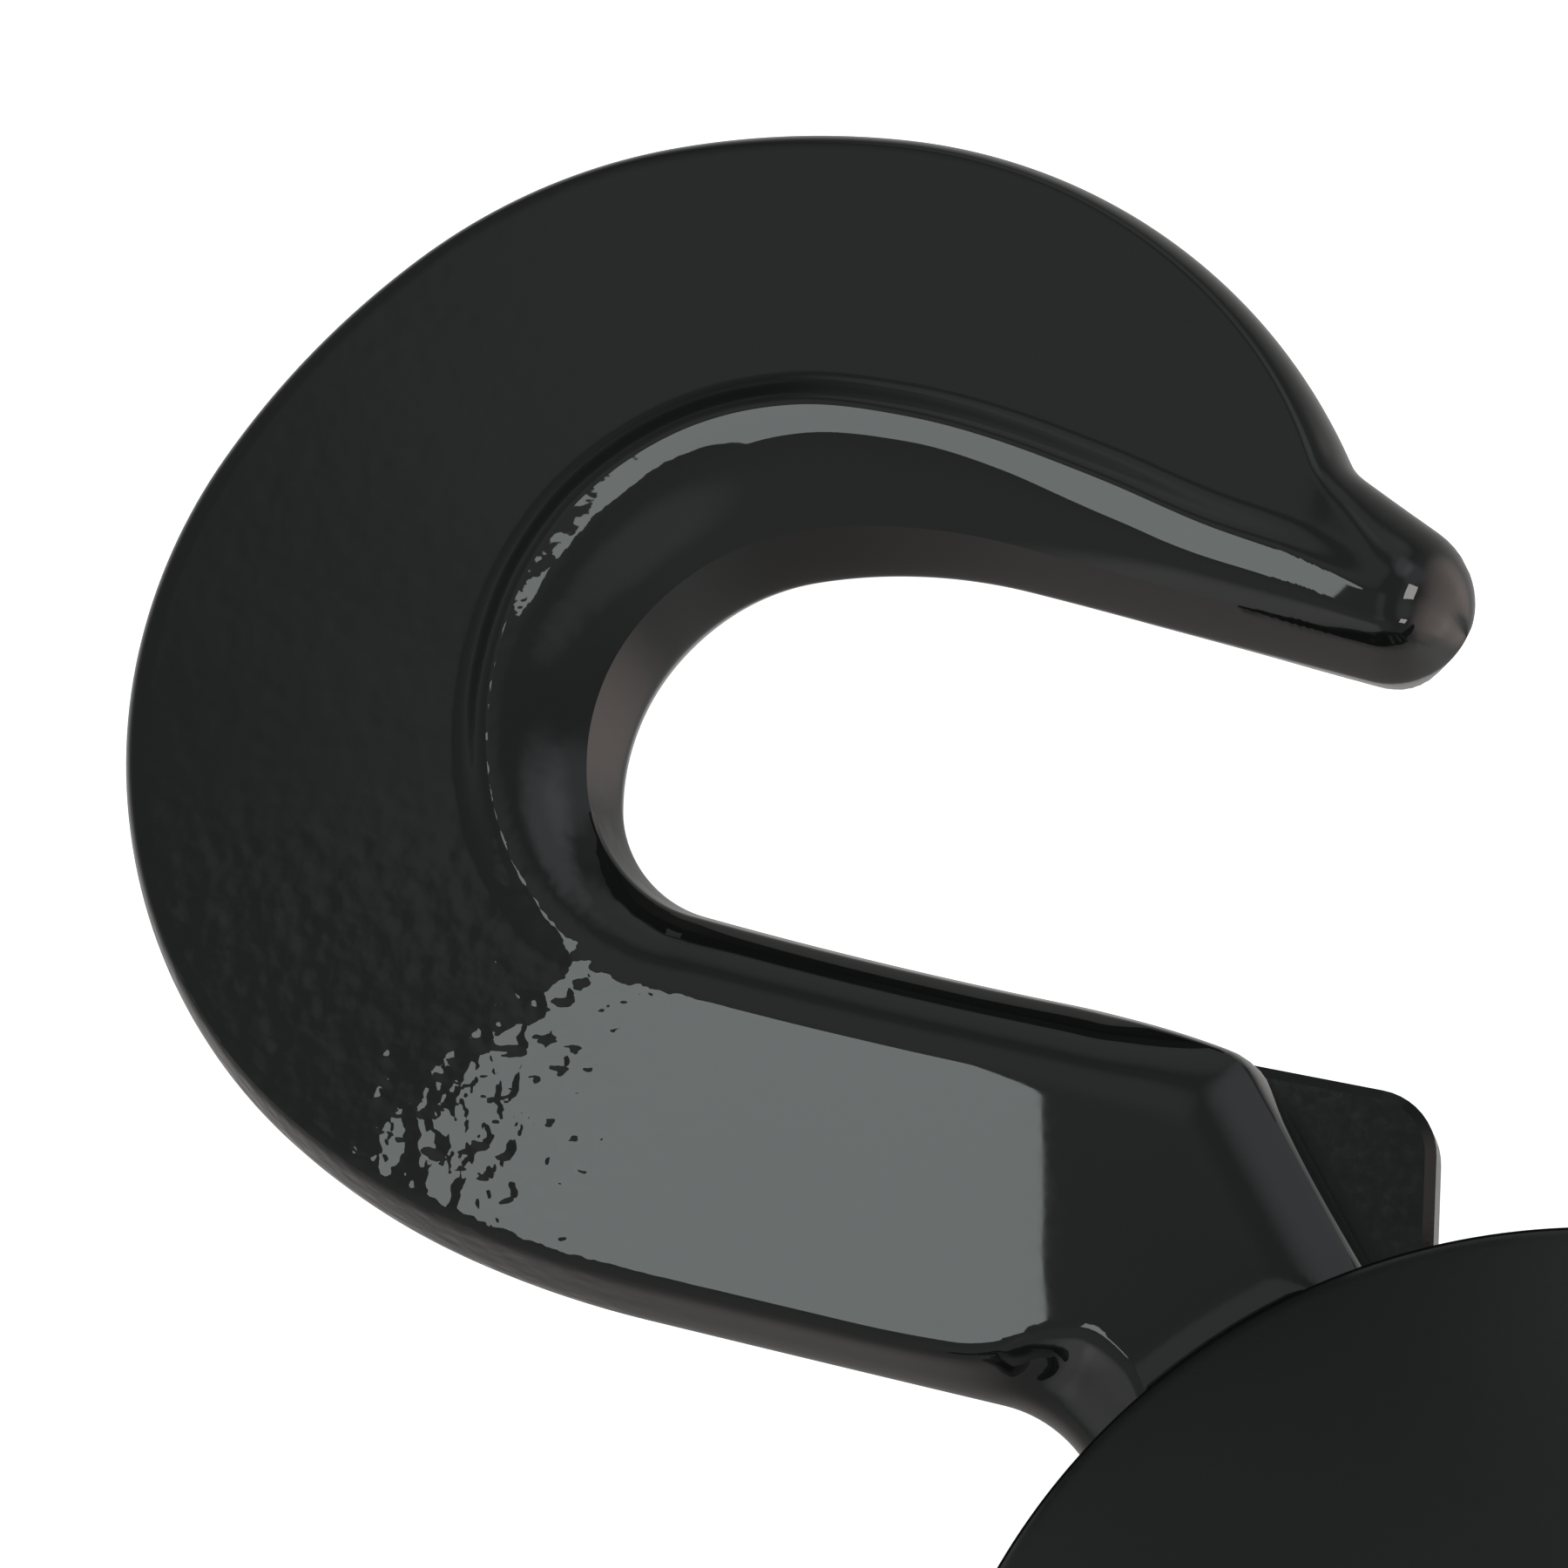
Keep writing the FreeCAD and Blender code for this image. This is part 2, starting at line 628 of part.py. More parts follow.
# ---------------------------------------------------------------- hooks
hook_top = S["hook_low"] + S["hook_thick"]
for k, turn in enumerate(TURNS):
    body = new_body("hook_arm_%d" % (k + 1), turn)
    tag = "_%d" % (k + 1)
    sk = new_sketch(body, "outline" + tag, height=S["hook_low"])
    closed_loop(sk, table_corners("outline", OUTLINE))
    blank = pad(body, "forging_blank" + tag, sk, S["hook_thick"])
    doc.recompute()
    rims = []
    for i, edge in enumerate(blank.Shape.Edges):
        if edge.BoundBox.ZLength < 1e-6:
            rims.append("Edge%d" % (i + 1))
    rounding = body.newObject("PartDesign::Fillet", "rounded_edges" + tag)
    rounding.Base = (blank, rims)
    rounding.Radius = S["hook_round"].value
    bind(rounding, "Radius", S["hook_round"])
    doc.recompute()
    for side, height, upward in (("front", hook_top, False), ("rear", S["hook_low"], True)):
        sk = new_sketch(body, side + "_recess_sketch" + tag, height=height)
        closed_loop(sk, table_corners("recess", RECESS))
        pocket(body, side + "_recess" + tag, sk, S["web_recess"], upward=upward)
    sk = new_sketch(body, "eye_sketch" + tag, height=S["hook_low"])
    x, y = pivots[0]
    circle(sk, x, y, S["bush_radius"])
    pocket(body, "eye" + tag, sk, S["hook_thick"] + 1.0, upward=True)

    bush = new_body("arm_bush_%d" % (k + 1), turn)
    sk = new_sketch(bush, "bush_section" + tag, height=S["hook_low"])
    circle(sk, x, y, S["bush_radius"])
    circle(sk, x, y, S["pin_radius"] + S["run_gap"])
    pad(bush, "bush_pad" + tag, sk, S["hook_thick"])

doc.recompute()

# ---------------------------------------------------------------- checks and files
faults = [o.Name for o in doc.Objects if "Invalid" in o.State or "Error" in o.State]
for item in NODES:
    if item.Shape.isNull() or not item.Shape.isValid() or not item.Shape.Solids:
        faults.append(item.Label)
if faults:
    raise SystemExit("failed: %s" % ", ".join(faults))
os.makedirs("parts", exist_ok=True)
for item in NODES:
    item.Shape.exportStep("parts/%s.step" % item.Label)
    box = item.Shape.BoundBox
    print("%-22s solids %d  volume %9.2f  z %.2f..%.2f" % (
        item.Label, len(item.Shape.Solids), item.Shape.Volume, box.ZMin, box.ZMax))
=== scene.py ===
import math

import bmesh
import bpy
import numpy as np
from mathutils import Matrix, Vector


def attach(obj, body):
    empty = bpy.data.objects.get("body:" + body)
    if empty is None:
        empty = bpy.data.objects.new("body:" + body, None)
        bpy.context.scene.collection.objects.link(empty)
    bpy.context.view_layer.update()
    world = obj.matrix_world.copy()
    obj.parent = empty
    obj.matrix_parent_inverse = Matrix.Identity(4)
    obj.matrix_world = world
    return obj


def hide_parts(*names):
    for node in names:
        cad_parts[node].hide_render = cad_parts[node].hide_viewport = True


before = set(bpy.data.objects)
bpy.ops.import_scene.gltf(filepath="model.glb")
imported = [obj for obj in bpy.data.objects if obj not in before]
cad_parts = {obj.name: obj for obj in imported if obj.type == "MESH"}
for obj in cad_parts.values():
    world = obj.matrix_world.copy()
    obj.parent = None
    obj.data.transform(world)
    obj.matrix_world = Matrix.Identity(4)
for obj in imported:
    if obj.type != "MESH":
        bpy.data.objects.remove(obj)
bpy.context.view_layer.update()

MM = 0.001
rng = np.random.default_rng(7)

# ------------------------------------------------------------------ hook outline (mm)
# Corners of hook 1 in plan, run clockwise, with the signed radius of the arc that leaves
# each one (positive turns left, 0 is straight). Same numbers as the design.
OUTLINE = (
    (-25.8608, 22.8079, -2916.5111), (-42.1548, 26.8959, -49.0676),
    (-50.5447, 29.8588, -32.3224), (-58.8764, 35.3838, -24.4682),
    (-62.3687, 67.5272, -39.0759), (-53.0326, 76.8969, -27.3830),
    (-40.5284, 81.7432, -37.9587), (-29.6401, 81.5081, -26.2693),
    (-9.5369, 65.2493, 2.2), (-8.8452, 64.3239, 0),
    (-5.5597, 61.7570, -3.72), (-8.9099, 55.2598, 0),
    (-18.9205, 58.3402, 216.0826), (-24.4775, 60.0320, 24.6707),
    (-34.3944, 60.8178, 10.3135), (-43.4320, 50.7301, 5.6011),
    (-39.4657, 45.2930, 246.4991), (-22.6879, 40.8144, -41.0322),
    (-15.2081, 38.3203, -3.2), (-13.6645, 36.8651, 0),
    (-5.5805, 21.2228, -7.6), (-19.0588, 14.1961, 0),
    (-21.9936, 19.7768, 6.0),
)
PIVOT = np.array([-12.3322, 17.7335])
Z_MID = 11.6
HALF = 6.0


def arc_points(p0, p1, r, step=0.08):
    p0, p1 = np.array(p0, float), np.array(p1, float)
    d = p1 - p0
    chord = np.hypot(*d)
    if r == 0:
        n = max(2, int(chord / step))
        return p0 + d * np.linspace(0, 1, n + 1)[:, None]
    h = math.sqrt(max(r * r - chord * chord / 4, 0)) * (1 if r > 0 else -1)
    c = (p0 + p1) / 2 + np.array([-d[1], d[0]]) / chord * h
    a0, a1 = math.atan2(*(p0 - c)[::-1]), math.atan2(*(p1 - c)[::-1])
    if r > 0 and a1 < a0:
        a1 += 2 * math.pi
    if r < 0 and a1 > a0:
        a1 -= 2 * math.pi
    n = max(3, int(abs(r) * abs(a1 - a0) / step))
    a = np.linspace(a0, a1, n + 1)
    return c + abs(r) * np.stack([np.cos(a), np.sin(a)], 1)


def outline_runs():
    n = len(OUTLINE)
    return [arc_points(OUTLINE[i][:2], OUTLINE[(i + 1) % n][:2], OUTLINE[i][2]) for i in range(n)]


def joined(parts):
    out = [parts[0]]
    for p in parts[1:]:
        out.append(p[1:])
    return np.concatenate(out)


class Chain:
    def __init__(self, pts):
        self.p = pts
        self.s = np.r_[0, np.cumsum(np.hypot(*np.diff(pts, axis=0).T))]

    def at(self, s):
        return np.stack([np.interp(s, self.s, self.p[:, 0]), np.interp(s, self.s, self.p[:, 1])], -1)

    def near(self, q):
        return self.s[np.hypot(*(self.p - np.array(q)).T).argmin()]

    def dist(self, q):
        """Distance of many points to the chain, and the run along it of the nearest point."""
        q = q.reshape(-1, 2)
        out, arg = np.empty(len(q)), np.empty(len(q))
        sub, s = self.p[::3], self.s[::3]
        if not np.allclose(sub[-1], self.p[-1]):
            sub, s = np.r_[sub, self.p[-1:]], np.r_[s, self.s[-1]]
        a, ab = sub[:-1], np.diff(sub, axis=0)
        l2 = (ab ** 2).sum(1)
        for i in range(0, len(q), 4000):
            d = q[i:i + 4000, None, :] - a[None]
            t = np.clip((d * ab[None]).sum(2) / l2, 0, 1)
            e = d - t[..., None] * ab[None]
            d2 = (e ** 2).sum(2)
            k = d2.argmin(1)
            out[i:i + 4000] = np.sqrt(d2[np.arange(len(k)), k])
            arg[i:i + 4000] = s[k] + t[np.arange(len(k)), k] * np.sqrt(l2[k])
        return out, arg


runs = outline_runs()


def split(run):
    m = len(run) // 2
    return run[:m + 1], run[m:]


nub_a, nub_b = split(runs[10])
eye_a, eye_b = split(runs[20])
inner = Chain(joined([nub_b] + [runs[i] for i in (11, 12, 13, 14, 15, 16, 17, 18, 19)] + [eye_a]))
outer = Chain(joined([nub_a[::-1]] + [runs[i][::-1] for i in (9, 8, 7, 6, 5, 4, 3, 2, 1, 0, 22, 21)] + [eye_b[::-1]]))

# Stations: a point of the throat side and the point of the back that it faces.
PAIRS = (
    ((-8.91, 55.26), (-6.55, 62.5)), ((-11.5, 56.05), (-9.0, 64.5)), ((-13.5, 56.7), (-10.0, 66.3)),
    ((-17.0, 57.75), (-12.4, 70.6)), ((-21.0, 59.0), (-17.4, 75.9)), ((-25.0, 60.2), (-23.7, 79.7)),
    ((-29.0, 61.0), (-30.5, 81.65)), ((-33.0, 61.0), (-38.5, 82.0)), ((-36.5, 60.3), (-46.5, 80.3)),
    ((-39.5, 58.8), (-53.5, 76.5)), ((-41.6, 56.4), (-59.3, 71.3)), ((-43.0, 53.6), (-64.0, 64.8)),
    ((-43.4, 51.0), (-66.5, 57.0)), ((-43.1, 48.9), (-66.4, 49.5)), ((-42.2, 47.2), (-64.2, 42.3)),
    ((-41.0, 46.0), (-60.2, 36.7)), ((-39.5, 45.3), (-55.3, 32.5)), ((-36.0, 44.3), (-48.0, 28.9)),
    ((-31.0, 43.0), (-40.0, 26.4)), ((-26.0, 41.7), (-32.5, 24.5)), ((-21.0, 40.3), (-27.5, 23.2)),
    ((-17.3, 39.2), (-24.9, 22.4)), ((-14.35, 37.8), (-23.2, 21.3)), ((-12.4, 34.4), (-21.9, 19.5)),
    ((-9.5, 28.8), (-20.3, 16.6)), ((-5.6, 21.3), (-19.1, 14.3)),
)


def smooth_interp(x, xs, ys):
    """Monotone cubic (PCHIP)."""
    xs, ys = np.asarray(xs, float), np.asarray(ys, float)
    h, d = np.diff(xs), np.diff(ys) / np.diff(xs)
    m = np.zeros_like(ys)
    for i in range(1, len(xs) - 1):
        if d[i - 1] * d[i] > 0:
            w1, w2 = 2 * h[i] + h[i - 1], h[i] + 2 * h[i - 1]
            m[i] = (w1 + w2) / (w1 / d[i - 1] + w2 / d[i])
    m[0], m[-1] = d[0], d[-1]
    k = np.clip(np.searchsorted(xs, x) - 1, 0, len(h) - 1)
    t = (x - xs[k]) / h[k]
    return ((2 * t ** 3 - 3 * t ** 2 + 1) * ys[k] + (t ** 3 - 2 * t ** 2 + t) * h[k] * m[k]
            + (-2 * t ** 3 + 3 * t ** 2) * ys[k + 1] + (t ** 3 - t ** 2) * h[k] * m[k + 1])


# Section sizes along the hook, keyed to the throat side: run along it is found from a
# plan point.  line: distance of the brightest line of the saddle from the throat edge,
# wd, wh: plan width and top height of the steep throat wall, b: half thickness,
# drop: depth of the groove behind the ridge, fall: further fall of the web to the outer
# edge, ro: width of the outer edge, draft: 0 a round outer edge, 1 a steep flat wall,
# 2 a wide facet above a short wall.
KEYS = (
    # point on inner     line    wd    wh    b    drop  fall   ro   draft
    ((-4.6, 57.0),       2.30, 0.60, 4.00, 5.30, 0.00, 0.00, 3.72, 0.0),
    ((-7.0, 55.3),       2.20, 0.65, 4.60, 5.85, 0.00, 0.00, 3.72, 0.0),
    ((-8.91, 55.26),     2.25, 0.70, 4.80, 5.97, 0.08, 0.00, 3.72, 0.0),
    ((-11.5, 56.05),     2.70, 0.75, 4.95, 6.00, 0.45, 0.00, 2.60, 0.0),
    ((-13.5, 56.7),      3.00, 0.80, 5.00, 6.00, 0.70, 0.10, 2.10, 0.0),
    ((-17.0, 57.75),     3.30, 0.85, 5.00, 6.00, 0.95, 0.35, 1.60, 0.1),
    ((-21.0, 59.0),      4.05, 0.90, 5.00, 6.00, 1.10, 0.65, 1.40, 0.3),
    ((-25.0, 60.2),      4.75, 1.00, 4.95, 6.00, 1.20, 0.90, 1.25, 0.4),
    ((-29.0, 61.0),      5.60, 1.15, 4.90, 6.00, 1.25, 1.00, 1.25, 0.4),
    ((-33.0, 61.0),      6.45, 1.30, 4.80, 6.00, 1.30, 1.05, 1.25, 0.4),
    ((-36.5, 60.3),      6.65, 1.25, 4.75, 6.00, 1.30, 1.05, 1.25, 0.4),
    ((-39.5, 58.8),      6.50, 1.20, 4.70, 6.00, 1.30, 1.05, 1.25, 0.4),
    ((-41.6, 56.4),      6.00, 1.15, 4.65, 6.00, 1.25, 1.05, 1.25, 0.4),
    ((-43.0, 53.6),      5.25, 1.00, 4.50, 6.00, 1.20, 1.05, 1.25, 0.4),
    ((-43.4, 51.0),      4.60, 0.80, 4.20, 6.00, 1.05, 1.00, 1.25, 0.4),
    ((-43.1, 48.9),      4.15, 0.65, 3.90, 6.00, 0.85, 0.90, 1.25, 0.5),
    ((-42.2, 47.2),      3.85, 0.55, 3.60, 6.00, 0.50, 0.72, 1.25, 0.6),
    ((-41.0, 46.0),      3.60, 0.50, 3.40, 6.00, 0.18, 0.45, 1.30, 0.7),
    ((-39.5, 45.3),      3.50, 0.50, 3.40, 6.00, 0.00, 0.16, 1.35, 0.8),
    ((-36.0, 44.3),      3.20, 0.50, 3.40, 6.00, 0.00, 0.00, 1.40, 1.0),
    ((-26.0, 41.7),      3.20, 0.50, 3.40, 6.00, 0.00, 0.00, 1.40, 1.0),
    ((-21.5, 40.45),     3.30, 0.50, 3.40, 6.00, 0.00, 0.00, 1.60, 1.05),
    ((-19.0, 39.7),      3.30, 0.50, 3.40, 6.00, 0.00, 0.00, 2.20, 1.35),
    ((-17.3, 39.2),      3.00, 0.50, 3.40, 6.00, 0.00, 0.00, 3.20, 1.70),
    ((-14.35, 37.8),     2.60, 0.50, 3.40, 6.00, 0.00, 0.00, 4.40, 2.0),
    ((-12.4, 34.4),      2.50, 0.50, 3.40, 6.00, 0.00, 0.00, 4.40, 2.0),
    ((-9.5, 28.8),       2.20, 0.50, 3.40, 6.00, 0.00, 0.00, 3.40, 1.8),
    ((-5.6, 21.3),       1.30, 0.40, 3.40, 6.00, 0.00, 0.00, 1.60, 1.0),
    ((-8.0, 11.5),       1.20, 0.40, 3.40, 6.00, 0.00, 0.00, 1.20, 0.3),
)
# Crest of the saddle along the arm: a narrow, nearly flat band beside the ridge.
# slope of the band, its width, and how much of it shows.
CREST = (
    ((-4.6, 57.0), 0.120, 1.00, 0.6),
    ((-7.0, 55.3), 0.120, 1.15, 1.0),
    ((-8.91, 55.26), 0.120, 1.20, 1.0),
    ((-11.5, 56.05), 0.118, 1.30, 1.0),
    ((-13.5, 56.7), 0.112, 1.40, 1.0),
    ((-17.0, 57.75), 0.100, 1.45, 1.0),
    ((-21.0, 59.0), 0.085, 1.40, 1.0),
    ((-25.0, 60.2), 0.075, 1.00, 1.0),
    ((-29.0, 61.0), 0.070, 0.65, 1.0),
    ((-33.0, 61.0), 0.062, 0.60, 1.0),
    ((-36.5, 60.3), 0.052, 0.85, 1.0),
    ((-39.5, 58.8), 0.046, 1.10, 1.0),
    ((-41.6, 56.4), 0.046, 1.00, 1.0),
    ((-43.0, 53.6), 0.085, 0.50, 1.0),
    ((-43.4, 51.0), 0.110, 0.40, 0.7),
    ((-43.1, 48.9), 0.110, 0.40, 0.3),
    ((-42.2, 47.2), 0.110, 0.40, 0.0),
    ((-8.0, 11.5), 0.110, 0.40, 0.0),
)
DRAFT = np.array(((0, 0), (0.03, 0.10), (0.15, 0.29), (0.45, 0.62), (0.76, 0.925), (0.84, 0.970),
                  (0.91, 0.993), (1, 1)))
FACET = np.array(((0, 0), (0.02, 0.12), (0.09, 0.36), (0.14, 0.47), (0.20, 0.535), (0.50, 0.73), (0.89, 0.967),
                  (0.95, 0.992), (1, 1)))


def hook_mesh():
    ki = [0.0] + [inner.near(p) for p, q in PAIRS] + [inner.s[-1]]
    ko = [0.0] + [outer.near(q) for p, q in PAIRS] + [outer.s[-1]]
    n_key = len(ki)
    u_key = np.arange(n_key, dtype=float)
    # even steps of the mean run along both sides
    mean = np.r_[0, np.cumsum((np.diff(ki) + np.diff(ko)) / 2)]
    # cosine-packed first and last stretches, where the two sides meet
    total = mean[-1]
    count = 330
    g = np.linspace(0, 1, count)
    run = g * total
    lead = 3.0
    first = lead * (1 - np.cos(np.linspace(0, math.pi / 2, 16)))
    last = total - lead * (1 - np.cos(np.linspace(0, math.pi / 2, 16)))[::-1]
    run = np.r_[first[:-1], run[(run > lead) & (run < total - lead)], last[1:] if False else last]
    run = np.unique(run)
    si = smooth_interp(run, mean, ki)
    so = smooth_interp(run, mean, ko)
    pi, po = inner.at(si), outer.at(so)
    ns = len(run)

    keys = np.array([inner.near(p) for p, *_ in KEYS])
    order = np.argsort(keys)
    keys = keys[order]
    vals = np.array([k[1:] for k in KEYS], float)[order]
    par = np.stack([smooth_interp(np.clip(si, keys[0], keys[-1]), keys, vals[:, j]) for j in range(vals.shape[1])], 1)

    # place the samples of every section by their distance from the two edges
    dense = np.linspace(0, 1, 241)
    plan = pi[:, None, :] + (po - pi)[:, None, :] * dense[None, :, None]
    di, _ = inner.dist(plan)
    do, _ = outer.dist(plan)
    di, do = di.reshape(ns, -1), do.reshape(ns, -1)
    rows = []
    n_wall, n_in, n_sh, n_web, n_out = 9, 32, 16, 24, 16
    for k in range(ns):
        line, wd, wh, b, drop, fall, ro = par[k][:7]
        a = line + 0.45
        width = np.hypot(*(po[k] - pi[k]))
        d_i = np.maximum.accumulate(di[k])
        d_o = np.maximum.accumulate(do[k][::-1])[::-1]
        if width < a + ro + 3.2:
            t = 0.5 - 0.5 * np.cos(np.linspace(0, math.pi, n_in + n_sh + n_web + n_out + 1))
            rows.append(t)
            continue
        ang = np.linspace(0, math.pi / 2, n_in + 1)
        low = wd * (1 - np.cos(ang[:n_wall] * (math.pi / 2) / ang[n_wall])) ** 0.85
        target_in = np.r_[low, wd + (a - wd) * np.linspace(0, 1, n_in - n_wall + 1) ** 1.08]
        t_in = np.interp(target_in, d_i, dense)
        t_sh = np.interp(a + np.linspace(0, 2.6, n_sh + 1)[1:], d_i, dense)
        target_out = ro * (1 - np.cos(ang[:n_out + 1] * (math.pi / 2) / ang[n_out]))
        t_out = 1 - np.interp(target_out, d_o[::-1], dense)
        t_out = t_out[::-1]
        t_web = t_sh[-1] + (t_out[0] - t_sh[-1]) * np.linspace(0, 1, n_web + 1)[1:-1]
        rows.append(np.r_[t_in, t_sh, t_web, t_out])
    m = min(len(r) for r in rows)
    full = n_in + 1 + n_sh + n_web - 1 + n_out + 1
    rows = [r if len(r) == full else np.interp(np.linspace(0, 1, full), np.linspace(0, 1, len(r)), r) for r in rows]
    T = np.array(rows)
    # blend the sample positions along the hook so that the grid stays fair
    kern = np.exp(-0.5 * (np.arange(-6, 7) / 2.5) ** 2)
    kern /= kern.sum()
    pad = np.pad(T, ((6, 6), (0, 0)), mode="edge")
    T = sum(kern[j] * pad[j:j + ns] for j in range(13))
    plan = pi[:, None, :] + (po - pi)[:, None, :] * T[..., None]
    di, ri = inner.dist(plan)
    do, _ = outer.dist(plan)
    di, do = di.reshape(T.shape), do.reshape(T.shape)
    ri = ri.reshape(T.shape)

    line, wd, wh, b, drop, fall, ro, draft = [par[:, j][:, None] for j in range(8)]
    ridge = line + 0.45
    # throat wall, then a saddle that levels out towards its ridge
    end = (line - 0.36 * wd) / 0.64
    v = np.clip((di - wd) / (end - wd), 0, 1)
    u = np.clip(di / wd, 0, 1)
    wall = wh * (0.22 * np.sqrt(u) + 0.78 * u)
    saddle = wh + (b - wh) * (1 - (1 - v) ** 3)
    k_crest = np.array([inner.near(c[0]) for c in CREST])
    o_crest = np.argsort(k_crest)
    slope, band, share = [smooth_interp(np.clip(si, k_crest.min(), k_crest.max()), k_crest[o_crest],
                                        np.array([c[j] for c in CREST])[o_crest])[:, None] for j in (1, 2, 3)]
    ridge = ridge + 0.20 * share
    drop_in = np.clip(ridge - di, 0, ridge - wd)
    span = ridge - wd
    rest = b - slope * span - wh
    crest = b - slope * drop_in - rest * np.clip((drop_in - band) / (span - band), 0, 1) ** 1.9
    saddle = saddle * (1 - share) + crest * share
    near = np.where(di < wd, wall, saddle)
    round_in = near / b
    # oblique end: a steep wall, a crisp corner, then a bevel that fades into the face
    at = [inner.near(q) for q in ((-20.5, 40.2), (-14.8, 38.1), (-9.0, 27.8), (-6.5, 23.0))]
    bevel = np.interp(si, at, [0, 1, 1, 0])[:, None]
    edge = smooth_interp(np.clip(di, 0, 0.5).ravel(), [0, 0.04, 0.18, 0.36, 0.5], [0, 1.3, 3.2, 4.5, 4.95]).reshape(di.shape)
    bev = np.where(di < 0.5, edge, 6.0 - 1.05 * np.clip((4.5 - di) / 4.0, 0, 1) ** 2) / 6.0
    near_in = round_in * (1 - bevel) + bev * bevel
    # groove behind the ridge, steep at first and soft at its foot, then the falling web
    x = np.clip((di - ridge) / 1.9, 0, 1)
    groove = drop * (1 - (1 - x) ** 2.4 * (1 + 2.4 * x))
    reach = np.clip((di - ridge) / np.clip(di + do - ridge, 2.0, None), 0, 1)
    web = fall * reach ** 1.25
    face = b * near_in - groove - web
    uo = np.clip(do / ro, 0, 1)
    full = np.sqrt(np.clip(1 - (1 - uo) ** 2, 0, 1))
    steep = smooth_interp(uo.ravel(), DRAFT[:, 0], DRAFT[:, 1]).reshape(uo.shape)
    facet = smooth_interp(uo.ravel(), FACET[:, 0], FACET[:, 1]).reshape(uo.shape)
    w1, w2 = np.clip(draft, 0, 1), np.clip(draft - 1, 0, 1)
    side = (full * (1 - w1) + steep * w1) * (1 - w2) + facet * w2
    z = np.clip(face, 0, None) * side
    z[:, 0] = 0
    z[:, -1] = 0
    return plan, z, par


plan, height, par = hook_mesh()


def relief(xy):
    """Shallow turned relief on the front of the arm, where it runs in beside the cover."""
    x = np.clip(31.0 - np.hypot(xy[..., 0], xy[..., 1]), 0, 3.4)
    return 0.19 * (x - 0.22 * (1 - np.exp(-x / 0.22)))


def smooth_step(x, lo, hi):
    t = np.clip((x - lo) / (hi - lo), 0, 1)
    return t * t * (3 - 2 * t)


def link(ob):
    bpy.context.scene.collection.objects.link(ob)
    return ob


def clean(bm, angle=35.0):
    bmesh.ops.remove_doubles(bm, verts=bm.verts, dist=1.5e-6)
    bmesh.ops.dissolve_degenerate(bm, dist=1e-7, edges=bm.edges)
    loose = [v for v in bm.verts if not v.link_faces]
    bmesh.ops.delete(bm, geom=loose, context="VERTS")
    bmesh.ops.recalc_face_normals(bm, faces=bm.faces)
    for f in bm.faces:
        f.smooth = True
    for e in bm.edges:
        e.smooth = not (e.is_manifold and e.calc_face_angle(0.0) > math.radians(angle))


def hook_master():
    ns, nt = height.shape
    lowered = np.minimum(Z_MID + height, Z_MID + HALF - relief(plan))
    front = np.concatenate([plan, lowered[..., None]], 2).reshape(-1, 3)
    back = np.concatenate([plan, (Z_MID - height)[..., None]], 2).reshape(-1, 3)
    verts = np.concatenate([front, back]) * MM
    idx = np.arange(ns * nt).reshape(ns, nt)
    bidx = idx + ns * nt
    bidx[:, 0] = idx[:, 0]
    bidx[:, -1] = idx[:, -1]
    faces = []
    for i in range(ns - 1):
        for j in range(nt - 1):
            faces.append((idx[i, j], idx[i + 1, j], idx[i + 1, j + 1], idx[i, j + 1]))
            faces.append((bidx[i, j], bidx[i, j + 1], bidx[i + 1, j + 1], bidx[i + 1, j]))
    me = bpy.data.meshes.new("hook_master")
    me.from_pydata(verts.tolist(), [], [tuple(int(v) for v in f) for f in faces])
    bm = bmesh.new()
    bm.from_mesh(me)
    clean(bm)
    holes = [e for e in bm.edges if e.is_boundary]
    if holes:
        bmesh.ops.holes_fill(bm, edges=holes)
        clean(bm)
    bm.to_mesh(me)
    bm.free()
    master = link(bpy.data.objects.new("hook_master", me))
    # bore of the eye, for the bronze bush
    bore = link(bpy.data.objects.new("bore_tool", ring_mesh("bore_tool", (
        (0.0, -1.0), (4.5, -1.0), (4.5, 30.0), (0.0, 30.0)), 128, PIVOT)))
    mod = master.modifiers.new("eye", "BOOLEAN")
    mod.operation, mod.solver, mod.object = "DIFFERENCE", "EXACT", bore
    deps = bpy.context.evaluated_depsgraph_get()
    cut = bpy.data.meshes.new_from_object(master.evaluated_get(deps))
    bpy.data.objects.remove(master)
    bpy.data.objects.remove(bore)
    bm = bmesh.new()
    bm.from_mesh(cut)
    clean(bm)
    bad = [e for e in bm.edges if not e.is_manifold]
    print("hook: verts", len(bm.verts), "faces", len(bm.faces), "non-manifold edges", len(bad),
          "volume mm3", round(bm.calc_volume() * 1e9, 1))
    bm.to_mesh(cut)
    bm.free()
    return cut


def ring_mesh(name, profile, seg=192, centre=(0.0, 0.0)):
    """A turned piece: profile is the closed outline (radius, height) in mm."""
    bm = bmesh.new()
    rows = []
    for r, z in profile:
        if r < 1e-6:
            rows.append([bm.verts.new((centre[0] * MM, centre[1] * MM, z * MM))] * seg)
        else:
            rows.append([bm.verts.new(((centre[0] + r * math.cos(2 * math.pi * k / seg)) * MM,
                                       (centre[1] + r * math.sin(2 * math.pi * k / seg)) * MM, z * MM)) for k in range(seg)])
    n = len(rows)
    closed = profile[0][0] > 1e-6
    for i in range(n if closed else n - 1):
        p, q = rows[i], rows[(i + 1) % n]
        for k in range(seg):
            m = (k + 1) % seg
            quad = []
            for v in (p[k], p[m], q[m], q[k]):
                if v not in quad:
                    quad.append(v)
            if len(quad) > 2:
                bm.faces.new(quad)
    clean(bm, 30.0)
    me = bpy.data.meshes.new(name)
    bm.to_mesh(me)
    bm.free()
    return me


